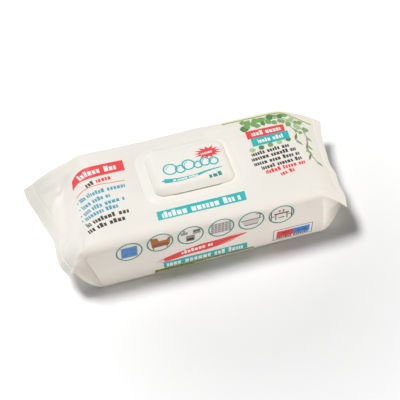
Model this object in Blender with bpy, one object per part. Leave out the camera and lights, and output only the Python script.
"""Wet wipes pack: a flow-wrapped pack of folded wipes with a glued-on flip-top dispenser.

Frame: metres, +X along the pack, +Y away from the side that faces the user, +Z up.
The origin is on the surface that the pack lies on, in the middle of its outline.
"""

import math

import bmesh
import bpy
from mathutils import Matrix, Vector

MM = 0.001

FAR = 1
NEAR = -1
LEFT = -1
RIGHT = 1

# Stack of wipes inside the film
STACK_LENGTH = 200 * MM
STACK_WIDTH = 104 * MM
STACK_HEIGHT = 56.5 * MM
STACK_MIDDLE = 2.5 * MM

# Where the film leaves the stack, as shares of half the stack's length. Each row of shares runs from the
# pack's near edge to its far edge in equal steps, because the film was pulled askew when it was sealed
TOP_SHOULDER = {LEFT: (1.04, 0.98, 0.90, 0.87, 0.88), RIGHT: (1.01, 0.99, 0.97, 0.96, 0.955)}
BOTTOM_SHOULDER = {LEFT: 0.93, RIGHT: 1.03}
SHOULDER_SOFTNESS = 14 * MM
SOFTNESS_SHARE = {LEFT: (0.21, 0.79, 1.0, 0.71, 0.21), RIGHT: (0.21, 0.64, 0.86, 0.71, 0.21)}

# The slopes at both ends: how much the film puffs out, and the two facets of the left one
END_PUFF = 6 * MM
PUFF_SHARE = {LEFT: (1.0, 0.67, 0.17, 0.17, 0.37), RIGHT: (0.08, 0.25, 0.33, 0.30, 0.20)}
STEEP_SLOPE = 1.08
FACET_SLOPE = (0.5, 0.5, 0.33, 0.33, 0.586)
FACET_SOFTNESS = 1.6 * MM
BOTTOM_SAG = 0.7

# Film over the stack
TOP_EDGE_RADIUS = {NEAR: 6.5 * MM, FAR: 5.0 * MM}
BOTTOM_EDGE_RADIUS = {(LEFT, NEAR): 2.5 * MM, (LEFT, FAR): 5.5 * MM,
                      (RIGHT, NEAR): 9.0 * MM, (RIGHT, FAR): 6.0 * MM}
SIDE_BULGE = 1.6 * MM
CROWN_DROP = {NEAR: 1.2 * MM, FAR: 0.5 * MM}
CROWN_START = 40 * MM

# End seals: reach of the cut edge from the pack's middle, its height, and how far the fin droops in degrees
SEAL_REACH = 138 * MM
CUT_EDGE = {LEFT: (0.859, 0.899, 0.907, 0.899, 0.909, 0.939, 0.968, 0.993, 1.0),
            RIGHT: (0.895, 0.915, 0.915, 0.928, 0.922, 0.937, 0.951, 0.971, 1.0)}
SEAL_HEIGHT = 25 * MM
CUT_HEIGHT = {LEFT: (1.0, 1.0, 1.0, 1.0, 1.0), RIGHT: (1.22, 1.16, 1.12, 1.08, 1.04)}
FIN_DROOP = {LEFT: (72, 62, 40, 28, 30), RIGHT: (50, 48, 46, 42, 38)}
SEAL_WIDTH = 9 * MM
SEAL_THICKNESS = 1.0 * MM
GUSSET_DEPTH = {(LEFT, NEAR): 8 * MM, (LEFT, FAR): 20 * MM,
                (RIGHT, NEAR): 9 * MM, (RIGHT, FAR): 20 * MM}
FOLD_LIMIT = 0.45

# Lengthwise back seam, folded flat against the underside
BACK_SEAM_WIDTH = 12 * MM
BACK_SEAM_GROOVE_WIDTH = 0.9 * MM
BACK_SEAM_GROOVE_DEPTH = 0.5 * MM

# Dispenser frame, glued on the top film
SEAT_GAP = 0.3 * MM
LID_CENTRE_Y = 6.5 * MM
FLANGE_END_MARGIN = 9 * MM
FLANGE_SIDE_MARGIN = 7 * MM
FLANGE_RADIUS = 14 * MM
FLANGE_THICKNESS = 1.2 * MM
FLANGE_EDGE = 0.5 * MM
WINDOW_LENGTH = 57 * MM
WINDOW_WIDTH = 31 * MM
WINDOW_RADIUS = 10 * MM
RIM_WALL = 1.5 * MM
RIM_HEIGHT = 4.0 * MM
RIM_EDGE = 0.35 * MM
CATCH_LENGTH = 14 * MM
CATCH_THICKNESS = 1.4 * MM
CATCH_HEIGHT = 3.0 * MM

# Flip-up cover
COVER_END_ROOM = 5 * MM
COVER_SIDE_ROOM = 7 * MM
COVER_RADIUS = 9 * MM
COVER_HEIGHT = 6.2 * MM
COVER_WALL = 1.3 * MM
COVER_DRAFT = 1.7 * MM
COVER_EDGE = 2.0 * MM
COVER_CROWN = 0.5 * MM
PLUG_WALL = 1.1 * MM
PLUG_DEPTH = 2.2 * MM
PLUG_CLEARANCE = 0.35 * MM
THUMB_NOTCH_LENGTH = 44 * MM
THUMB_NOTCH_HEIGHT = 1.6 * MM
THUMB_LIP_REACH = 1.2 * MM
THUMB_LIP_THICKNESS = 1.1 * MM
THUMB_LIP_ROUNDING = 0.8

# Living hinge along the cover's far edge
HINGE_LENGTH = 50 * MM
HINGE_WEB = 0.3 * MM
HINGE_WEB_REACH = 0.6 * MM
HINGE_WEB_GAP = 0.5 * MM
HINGE_RISE = 1.9 * MM
HINGE_WALL = 1.0 * MM

# Peel-off label in the window
LABEL_THICKNESS = 0.3 * MM
LABEL_MARGIN = 2.5 * MM
LABEL_TAB_LENGTH = 9 * MM
LABEL_TAB_WIDTH = 12 * MM
LABEL_TAB_OVERLAP = 2 * MM
LABEL_TAB_INSET = 6 * MM
LABEL_TAB_ROUNDING = 0.4

# Sizes that follow from the ones above: the window sets the rim, the cover and the flange
RIM_LENGTH = WINDOW_LENGTH + 2 * RIM_WALL
RIM_WIDTH = WINDOW_WIDTH + 2 * RIM_WALL
COVER_LENGTH = RIM_LENGTH + 2 * COVER_END_ROOM
COVER_WIDTH = RIM_WIDTH + 2 * COVER_SIDE_ROOM
FLANGE_LENGTH = COVER_LENGTH + 2 * FLANGE_END_MARGIN
FLANGE_WIDTH = COVER_WIDTH + 2 * FLANGE_SIDE_MARGIN
FILM_TOP = STACK_HEIGHT
FLANGE_BOTTOM = FILM_TOP + SEAT_GAP
FLANGE_TOP = FLANGE_BOTTOM + FLANGE_THICKNESS
SKIRT_BOTTOM = FLANGE_TOP + SEAT_GAP
HINGE_Z = FLANGE_TOP + HINGE_RISE
HINGE_Y = LID_CENTRE_Y + COVER_WIDTH / 2 + HINGE_WEB_REACH

# Mesh density
TOP_SPANS = 10
ARC_SPANS = 4
SIDE_SPANS = 4
BOTTOM_SPANS = 4
SEAM_LINES = (-1, 0, 1)
STACK_STATIONS = (0.02, 0.045, 0.075, 0.11, 0.25, 0.4, 0.55, 0.7, 0.85, 0.92, 0.96, 0.98)
END_STATIONS = (0.0, 0.07, 0.14, 0.22, 0.31, 0.41, 0.52, 0.64, 0.76, 0.87, 0.95)
SEAL_STATIONS = (0.0, 0.5, 1.0)
ROUND_SEGMENTS = 7
EDGE_SEGMENTS = 3
EPSILON = 0.01 * MM


def clamp(value, low=0.0, high=1.0):
    return max(low, min(high, value))


def smooth(value):
    t = clamp(value)
    return t * t * (3 - 2 * t)


def lerp(a, b, t):
    return a + (b - a) * t


# Film pack


def across(y):
    """How far a point lies across the pack: 0 at the near edge, 1 at the far edge."""
    return clamp(y / STACK_WIDTH + 0.5)


def along(shares, y):
    """A share from a row that runs across the pack, joined by a smooth curve."""
    last = len(shares) - 1
    k = min(int(across(y) * last), last - 1)
    t = across(y) * last - k
    a, b, c, d = (shares[max(0, min(last, k + step))] for step in (-1, 0, 1, 2))
    return (2 * b + (c - a) * t + (2 * a - 5 * b + 4 * c - d) * t ** 2 + (3 * b - a - 3 * c + d) * t ** 3) / 2


def soft_max(a, b, softness):
    """The larger of two heights, with a soft valley where they meet."""
    near = max(softness - abs(a - b), 0) / softness
    return max(a, b) + near ** 2 * softness / 4


def top_shoulder(end, y):
    """How far from the pack's middle the top film starts to fall."""
    return STACK_LENGTH / 2 * along(TOP_SHOULDER[end], y)


def shoulder_x(end, y, f):
    """Where the film leaves the stack. f is 1 on the top film and 0 on the bottom one."""
    return end * lerp(STACK_LENGTH / 2 * BOTTOM_SHOULDER[end], top_shoulder(end, y), f)


def seal_point(end, y, w):
    """A point in the middle of a seal's thickness: w is 0 on its inner line and 1 on its cut edge."""
    droop = math.radians(along(FIN_DROOP[end], y))
    back = SEAL_WIDTH * (1 - w)
    reach = SEAL_REACH * along(CUT_EDGE[end], y) - back * math.cos(droop)
    return end * reach, SEAL_HEIGHT * along(CUT_HEIGHT[end], y) + back * math.sin(droop)


def crown(y):
    """How far the top film lies under its highest level, which is flat below the dispenser."""
    drop = CROWN_DROP[FAR if y > 0 else NEAR]
    return drop * smooth((abs(y) - CROWN_START) / (STACK_WIDTH / 2 - CROWN_START))


def top_height(x, y):
    """Height of the top film: the panel, then a soft shoulder, then the slope down to the seal. The left
    slope has two facets, a steep one from the panel and a shallower one that runs on into the seal."""
    end = RIGHT if x > STACK_MIDDLE else LEFT
    panel = STACK_HEIGHT - crown(y)
    past = end * x - top_shoulder(end, y)
    seal_x, seal_z = seal_point(end, y, 0.0)
    run = end * seal_x - top_shoulder(end, y)
    goal = seal_z + SEAL_THICKNESS / 2
    slope = (panel - goal) / run
    fall = max(slope, STEEP_SLOPE) if end == LEFT else slope
    height = panel - max(past, 0) * fall
    if fall > slope and past > 0:
        height = soft_max(height, goal + along(FACET_SLOPE, y) * (run - past), FACET_SOFTNESS)
    softness = SHOULDER_SOFTNESS * along(SOFTNESS_SHARE[end], y)
    near = max(softness - abs(past) * fall, 0) / softness
    puff = END_PUFF * along(PUFF_SHARE[end], y) * math.sin(math.pi * clamp(past / run))
    return height - near ** 2 * softness / 4 + puff


def film_point(end, u, y, f):
    """(x, z) of the top film (f = 1) or the bottom film (f = 0), from shoulder (u = 0) to seal (u = 1)."""
    seal_x, seal_z = seal_point(end, y, 0.0)
    x = lerp(shoulder_x(end, y, f), seal_x, u)
    if f == 1.0:
        return x, lerp(top_height(x, y), seal_z + SEAL_THICKNESS / 2, smooth((u - 0.93) / 0.07))
    return x, (seal_z - SEAL_THICKNESS / 2) * (u - BOTTOM_SAG * u * (1 - u))


def tuck(end, side, u):
    """How deep the side film is folded in, at this place between shoulder and seal."""
    return GUSSET_DEPTH[end, side] * math.sqrt(clamp(1 - (1 - u) ** 2)) if u < 1 else 0.0


def seam_groove(y):
    """The two shallow grooves along the folded back seam."""
    away = abs(abs(y) - BACK_SEAM_WIDTH / 2)
    return BACK_SEAM_GROOVE_DEPTH * clamp(1 - 2 * away / BACK_SEAM_GROOVE_WIDTH)


def bottom_positions(limit):
    """Places across the underside, with extra ones where the seam's grooves are."""
    seam = [BACK_SEAM_WIDTH / 2 + k * BACK_SEAM_GROOVE_WIDTH / 2 for k in SEAM_LINES]
    rest = [lerp(seam[-1], limit, (k + 1) / BOTTOM_SPANS) for k in range(BOTTOM_SPANS)]
    return [0.0] + seam + rest


def bezier(a, corner, b, spans):
    """Points of a rounded corner from a to b, both ends left out."""
    points = []
    for k in range(1, spans):
        t = k / spans
        points.append(a * (1 - t) ** 2 + corner * (2 * t * (1 - t)) + b * t * t)
    return points


def toward(fold, middle, radius):
    """The point on a side panel where the rounded corner at its fold ends."""
    return fold.lerp(middle, min(FOLD_LIMIT, radius / max((middle - fold).length, EPSILON)))


def half_section(end, u, side):
    """(y, z, height fraction) down one side of the pack, from the middle of the top to the middle
    of the underside. Height fraction 1 is on the top film and 0 on the bottom film."""
    edge = side * STACK_WIDTH / 2
    open_part = 1 - clamp(u)
    radius_top = max(TOP_EDGE_RADIUS[side] * open_part ** 2, SEAL_THICKNESS / 4)
    radius_low = max(BOTTOM_EDGE_RADIUS[end, side] * open_part ** 2, SEAL_THICKNESS / 4)
    layer = Vector((0, SEAL_THICKNESS / 3 * smooth(u * 4)))
    top_corner = Vector((edge, film_point(end, u, edge, 1.0)[1]))
    low_corner = Vector((edge, film_point(end, u, edge, 0.0)[1]))
    middle = Vector((edge - side * tuck(end, side, u), (top_corner.y + low_corner.y) / 2))

    points = []
    reach = STACK_WIDTH / 2 - radius_top
    for k in range(TOP_SPANS + 1):
        y = side * reach * math.sin(math.pi / 2 * k / TOP_SPANS)
        points.append((y, film_point(end, u, y, 1.0)[1], 1.0))
    arc_end = toward(top_corner - layer, middle, radius_top)
    for p in bezier(Vector(points[-1][:2]), top_corner, arc_end, ARC_SPANS):
        points.append((p.x, p.y, 1.0))

    low_start = toward(low_corner + layer, middle, radius_low)
    column = [arc_end.lerp(middle, k / SIDE_SPANS) for k in range(SIDE_SPANS + 1)]
    column += [middle.lerp(low_start, k / SIDE_SPANS) for k in range(1, SIDE_SPANS + 1)]
    for k, p in enumerate(column):
        f = 1 - k / (len(column) - 1)
        bulge = SIDE_BULGE * math.sin(math.pi * f) * open_part ** 3
        points.append((p.x + side * bulge, p.y, f))

    low_reach = STACK_WIDTH / 2 - radius_low
    low_end = Vector((side * low_reach, film_point(end, u, side * low_reach, 0.0)[1]))
    for p in bezier(low_start, low_corner, low_end, ARC_SPANS):
        points.append((p.x, p.y, 0.0))
    for y in reversed(bottom_positions(low_reach)):
        z = film_point(end, u, side * y, 0.0)[1] + seam_groove(y) * open_part
        points.append((side * y, z, 0.0))
    return points


def section_ring(end, u):
    """The whole closed ring: down the far side, then up the near side."""
    far = half_section(end, u, FAR)
    near = half_section(end, u, NEAR)
    return far + near[-2:0:-1]


def end_ring(end, u):
    """A ring of (point, height fraction) between a shoulder and its seal."""
    return [(Vector((film_point(end, u, y, f)[0], y, z)), f) for y, z, f in section_ring(end, u)]


def seal_ring(end, w):
    """A ring in the flat seal, at right angles to the drooping fin."""
    ring = []
    for y, z, f in section_ring(end, 1.0):
        droop = math.radians(along(FIN_DROOP[end], y))
        off = z - seal_point(end, y, 0.0)[1]
        x, middle = seal_point(end, y, w)
        ring.append((Vector((x + end * math.sin(droop) * off, y, middle + math.cos(droop) * off)), f))
    return ring


def stack_ring(left, right, t):
    """A ring between the two shoulders. Its top follows the panel, also where that starts to fall."""
    ring = []
    for (a, f), (b, _) in zip(left, right):
        p = a.lerp(b, t)
        if f == 1.0:
            p.z += top_height(p.x, p.y) - lerp(top_height(a.x, a.y), top_height(b.x, b.y), t)
        ring.append((p, f))
    return ring


def film_rings():
    """All rings of the pack, from the left cut edge to the right one."""
    left = [seal_ring(LEFT, w) for w in reversed(SEAL_STATIONS)]
    left += [end_ring(LEFT, u) for u in reversed(END_STATIONS)]
    right = [end_ring(RIGHT, u) for u in END_STATIONS]
    right += [seal_ring(RIGHT, w) for w in SEAL_STATIONS]
    stack = [stack_ring(left[-1], right[0], t) for t in STACK_STATIONS]
    return [[p for p, f in ring] for ring in left + stack + right]


def build_film_pack(collection):
    """A loft through unlike sections: flat seal, folded gusset, rounded stack, gusset, seal."""
    bm = bmesh.new()
    rings = [[bm.verts.new(p) for p in ring] for ring in film_rings()]
    count = len(rings[0])
    for a, b in zip(rings, rings[1:]):
        for k in range(count):
            n = (k + 1) % count
            bm.faces.new((a[k], a[n], b[n], b[k]))
    cap_flat_end(bm, rings[0])
    cap_flat_end(bm, rings[-1])
    bmesh.ops.recalc_face_normals(bm, faces=bm.faces)
    return add_object("film_pack", bm, collection, film_material(), smooth_angle=38)


def cap_flat_end(bm, ring):
    """Closes the cut edge of a seal: one strip from its middle to the far side and one to the near side."""
    half = len(ring) // 2 + 1
    strip_between(bm, ring[:half])
    strip_between(bm, [ring[0]] + ring[:half - 2:-1])


def strip_between(bm, path):
    """Fills the narrow space between the upper and the lower half of a path, from its two ends inwards."""
    a = 0
    b = len(path) - 1
    while b - a > 1:
        gap_a = abs(path[a + 1].co.y - path[b].co.y)
        gap_b = abs(path[a].co.y - path[b - 1].co.y)
        if gap_a <= gap_b:
            bm.faces.new((path[a], path[a + 1], path[b]))
            a += 1
        else:
            bm.faces.new((path[a], path[b - 1], path[b]))
            b -= 1


# Moulded dispenser


def rounded_box(length, width, radius, bottom, top, centre_y=0.0, draft=0.0, edge=0.0):
    """A box primitive with rounded upright corners, drafted sides and a rounded top edge."""
    bm = bmesh.new()
    bmesh.ops.create_cube(bm, size=1.0)
    for v in bm.verts:
        v.co.x *= length
        v.co.y *= width
        v.co.z = top if v.co.z > 0 else bottom
    upright = [e for e in bm.edges if abs(e.verts[0].co.z - e.verts[1].co.z) > EPSILON]
    bmesh.ops.bevel(bm, geom=upright, offset=radius, offset_type="OFFSET", segments=ROUND_SEGMENTS,
                    profile=0.5, affect="EDGES")
    if draft:
        for v in bm.verts:
            if v.co.z > top - EPSILON:
                v.co.x *= 1 - 2 * draft / length
                v.co.y *= 1 - 2 * draft / width
    if edge:
        rim = [e for e in bm.edges if min(v.co.z for v in e.verts) > top - EPSILON]
        bmesh.ops.bevel(bm, geom=rim, offset=edge, offset_type="OFFSET", segments=EDGE_SEGMENTS,
                        profile=0.5, affect="EDGES")
    bmesh.ops.translate(bm, verts=bm.verts, vec=(0, centre_y, 0))
    return bm


def block(x0, x1, y0, y1, z0, z1):
    """A plain box between two corners."""
    bm = bmesh.new()
    bmesh.ops.create_cube(bm, size=1.0)
    for v in bm.verts:
        v.co.x = x1 if v.co.x > 0 else x0
        v.co.y = y1 if v.co.y > 0 else y0
        v.co.z = z1 if v.co.z > 0 else z0
    return bm


def add_object(name, bm, collection, material=None, smooth_angle=None, guide=False):
    mesh = bpy.data.meshes.new(name)
    bm.to_mesh(mesh)
    bm.free()
    obj = bpy.data.objects.new(name, mesh)
    collection.objects.link(obj)
    if material:
        mesh.materials.append(material)
    if smooth_angle:
        mesh.shade_smooth()
        mesh.set_sharp_from_angle(angle=math.radians(smooth_angle))
    if guide:
        obj.hide_render = True
        obj.display_type = "WIRE"
    return obj


def combine(obj, other, operation):
    """A Boolean modifier with the exact solver."""
    mod = obj.modifiers.new(operation.lower() + "_" + other.name, "BOOLEAN")
    mod.operation = operation
    mod.solver = "EXACT"
    mod.object = other
    return mod


def build_lid_base(collection, guides):
    flange = rounded_box(FLANGE_LENGTH, FLANGE_WIDTH, FLANGE_RADIUS, FLANGE_BOTTOM, FLANGE_TOP,
                         LID_CENTRE_Y, edge=FLANGE_EDGE)
    base = add_object("lid_base", flange, collection, lid_material("frame_plastic"), smooth_angle=35)

    rim = rounded_box(RIM_LENGTH, RIM_WIDTH, WINDOW_RADIUS + RIM_WALL,
                      FLANGE_TOP - FLANGE_THICKNESS / 2, FLANGE_TOP + RIM_HEIGHT, LID_CENTRE_Y, edge=RIM_EDGE)
    combine(base, add_object("rim_form", rim, guides, guide=True), "UNION")

    wall_y = HINGE_Y + HINGE_WEB_GAP - HINGE_WEB / 2 + HINGE_WEB_REACH
    wall = block(-HINGE_LENGTH / 2, HINGE_LENGTH / 2, wall_y, wall_y + HINGE_WALL,
                 FLANGE_TOP - FLANGE_THICKNESS / 2, HINGE_Z + HINGE_WEB / 2)
    combine(base, add_object("hinge_wall_form", wall, guides, guide=True), "UNION")

    web_y = HINGE_Y + HINGE_WEB_GAP - HINGE_WEB / 2
    web = block(-HINGE_LENGTH / 2, HINGE_LENGTH / 2, web_y, wall_y + HINGE_WALL / 2,
                HINGE_Z - HINGE_WEB / 2, HINGE_Z + HINGE_WEB / 2)
    combine(base, add_object("hinge_web_form", web, guides, guide=True), "UNION")

    inside_y = LID_CENTRE_Y - COVER_WIDTH / 2 + COVER_WALL + COVER_DRAFT * CATCH_HEIGHT / COVER_HEIGHT
    catch_y = inside_y + 2 * SEAT_GAP
    catch = block(-CATCH_LENGTH / 2, CATCH_LENGTH / 2, catch_y, catch_y + CATCH_THICKNESS,
                  FLANGE_TOP - FLANGE_THICKNESS / 2, FLANGE_TOP + CATCH_HEIGHT)
    combine(base, add_object("catch_form", catch, guides, guide=True), "UNION")

    window = rounded_box(WINDOW_LENGTH, WINDOW_WIDTH, WINDOW_RADIUS, FILM_TOP - RIM_HEIGHT,
                         FLANGE_TOP + 2 * RIM_HEIGHT, LID_CENTRE_Y)
    combine(base, add_object("window_cutter", window, guides, guide=True), "DIFFERENCE")
    return base


def build_lid_cover(collection, guides):
    """A drafted shell, open below, with a plug ring inside, a thumb notch in front and the web behind."""
    top = SKIRT_BOTTOM + COVER_HEIGHT
    outer = rounded_box(COVER_LENGTH, COVER_WIDTH, COVER_RADIUS, SKIRT_BOTTOM, top, LID_CENTRE_Y,
                        draft=COVER_DRAFT, edge=COVER_EDGE)
    raise_crown(outer, top)
    cover = add_object("lid_cover", outer, collection, lid_material("cover_plastic"), smooth_angle=35)

    ceiling = top - COVER_WALL
    hollow = rounded_box(COVER_LENGTH - 2 * COVER_WALL, COVER_WIDTH - 2 * COVER_WALL,
                         COVER_RADIUS - COVER_WALL,
                         SKIRT_BOTTOM, ceiling, LID_CENTRE_Y, draft=COVER_DRAFT, edge=COVER_EDGE / 2)
    deepen(hollow, SKIRT_BOTTOM, COVER_HEIGHT / 2)
    combine(cover, add_object("hollow_cutter", hollow, guides, guide=True), "DIFFERENCE")

    plug_length = WINDOW_LENGTH - 2 * PLUG_CLEARANCE
    plug_width = WINDOW_WIDTH - 2 * PLUG_CLEARANCE
    plug = rounded_box(plug_length, plug_width, WINDOW_RADIUS - PLUG_CLEARANCE,
                       ceiling - PLUG_DEPTH, ceiling + COVER_WALL / 2, LID_CENTRE_Y)
    plug_obj = add_object("plug_form", plug, guides, guide=True)
    bore = rounded_box(plug_length - 2 * PLUG_WALL, plug_width - 2 * PLUG_WALL,
                       WINDOW_RADIUS - PLUG_CLEARANCE - PLUG_WALL,
                       ceiling - 2 * PLUG_DEPTH, ceiling + COVER_WALL / 4, LID_CENTRE_Y)
    combine(plug_obj, add_object("plug_bore_cutter", bore, guides, guide=True), "DIFFERENCE")
    combine(cover, plug_obj, "UNION")

    front = LID_CENTRE_Y - COVER_WIDTH / 2
    lip_z = SKIRT_BOTTOM + THUMB_NOTCH_HEIGHT
    lean = COVER_DRAFT * (THUMB_NOTCH_HEIGHT + THUMB_LIP_THICKNESS / 2) / COVER_HEIGHT
    lip = block(-THUMB_NOTCH_LENGTH / 2, THUMB_NOTCH_LENGTH / 2, front - THUMB_LIP_REACH,
                front + lean + COVER_WALL / 2, lip_z, lip_z + THUMB_LIP_THICKNESS)
    round_ends(lip, THUMB_LIP_REACH * THUMB_LIP_ROUNDING)
    combine(cover, add_object("thumb_lip_form", lip, guides, guide=True), "UNION")

    notch = block(-THUMB_NOTCH_LENGTH / 2, THUMB_NOTCH_LENGTH / 2, front - 2 * THUMB_LIP_REACH,
                  front + 2 * COVER_WALL, SKIRT_BOTTOM - COVER_WALL, lip_z)
    combine(cover, add_object("thumb_notch_cutter", notch, guides, guide=True), "DIFFERENCE")

    back = LID_CENTRE_Y + COVER_WIDTH / 2
    relief = block(-HINGE_LENGTH / 2 - HINGE_WALL, HINGE_LENGTH / 2 + HINGE_WALL, back - 2 * COVER_WALL,
                   back + COVER_WALL, SKIRT_BOTTOM - COVER_WALL, HINGE_Z - HINGE_WEB / 2)
    combine(cover, add_object("hinge_relief_cutter", relief, guides, guide=True), "DIFFERENCE")
    web = block(-HINGE_LENGTH / 2, HINGE_LENGTH / 2, back - COVER_WALL, HINGE_Y - HINGE_WEB / 2,
                HINGE_Z - HINGE_WEB / 2, HINGE_Z + HINGE_WEB / 2)
    combine(cover, add_object("cover_web_form", web, guides, guide=True), "UNION")
    return cover


def raise_crown(bm, top):
    """Lifts the middle of the cover's top face, so that it isn't dead flat."""
    face = max(bm.faces, key=lambda f: f.calc_center_median().z)
    centre = bmesh.ops.poke(bm, faces=[face])["verts"][0]
    centre.co.z = top + COVER_CROWN


def deepen(bm, bottom, depth):
    """Carries a cutter's straight side down past the face that it opens."""
    for v in bm.verts:
        if v.co.z < bottom + EPSILON:
            v.co.z -= depth


def round_ends(bm, radius):
    """Rounds the upright corners on the side of a block that faces the user."""
    front = min(v.co.y for v in bm.verts)
    edges = [e for e in bm.edges
             if abs(e.verts[0].co.z - e.verts[1].co.z) > EPSILON and e.verts[0].co.y < front + EPSILON]
    bmesh.ops.bevel(bm, geom=edges, offset=radius, offset_type="OFFSET", segments=EDGE_SEGMENTS,
                    profile=0.5, affect="EDGES")


def build_seal_label(collection, guides):
    """A thin label with a pull tab, on the film inside the window."""
    bottom = FILM_TOP + SEAT_GAP
    top = bottom + LABEL_THICKNESS
    length = WINDOW_LENGTH - 2 * LABEL_MARGIN - LABEL_TAB_INSET
    width = WINDOW_WIDTH - 2 * LABEL_MARGIN
    sheet = rounded_box(length, width, WINDOW_RADIUS - LABEL_MARGIN, bottom, top, LID_CENTRE_Y)
    shift = -LABEL_TAB_INSET / 2
    bmesh.ops.translate(sheet, verts=sheet.verts, vec=(shift, 0, 0))
    label = add_object("seal_label", sheet, collection, label_material(), smooth_angle=35)
    tab = rounded_box(LABEL_TAB_LENGTH + LABEL_TAB_OVERLAP, LABEL_TAB_WIDTH,
                      LABEL_TAB_LENGTH * LABEL_TAB_ROUNDING,
                      bottom, top, LID_CENTRE_Y)
    tab_x = shift + length / 2 + LABEL_TAB_INSET - (LABEL_TAB_LENGTH + LABEL_TAB_OVERLAP) / 2
    bmesh.ops.translate(tab, verts=tab.verts, vec=(tab_x, 0, 0))
    combine(label, add_object("label_tab_form", tab, guides, guide=True), "UNION")
    return label


# Materials


def plain_material(name, colour, roughness, metallic=0.0):
    material = bpy.data.materials.new(name)
    material.use_nodes = True
    shader = material.node_tree.nodes["Principled BSDF"]
    shader.inputs["Base Color"].default_value = (*colour, 1.0)
    shader.inputs["Roughness"].default_value = roughness
    shader.inputs["Metallic"].default_value = metallic
    return material


def film_material():
    return plain_material("matte_film", (0.86, 0.84, 0.81), 0.5)


def lid_material(name):
    return plain_material(name, (0.89, 0.88, 0.86), 0.35)


def label_material():
    return plain_material("label_film", (0.80, 0.82, 0.84), 0.3)


def main():
    for obj in list(bpy.data.objects):
        bpy.data.objects.remove(obj, do_unlink=True)
    parts = bpy.data.collections.new("wet_wipes_pack")
    guides = bpy.data.collections.new("cutters")
    bpy.context.scene.collection.children.link(parts)
    bpy.context.scene.collection.children.link(guides)

    build_film_pack(parts)
    build_lid_base(parts, guides)
    cover = build_lid_cover(parts, guides)
    build_seal_label(parts, guides)

    # The cover turns about the middle of the living hinge, so its origin goes there
    pivot = Vector((0, HINGE_Y, HINGE_Z))
    for obj in [cover] + [m.object for m in cover.modifiers]:
        move_origin(obj, pivot)
    move_origin(bpy.data.objects["plug_bore_cutter"], pivot)


def move_origin(obj, pivot):
    """Puts an object's origin at the pivot and leaves its shape where it is."""
    obj.data.transform(Matrix.Translation(-pivot))
    obj.location = pivot


main()
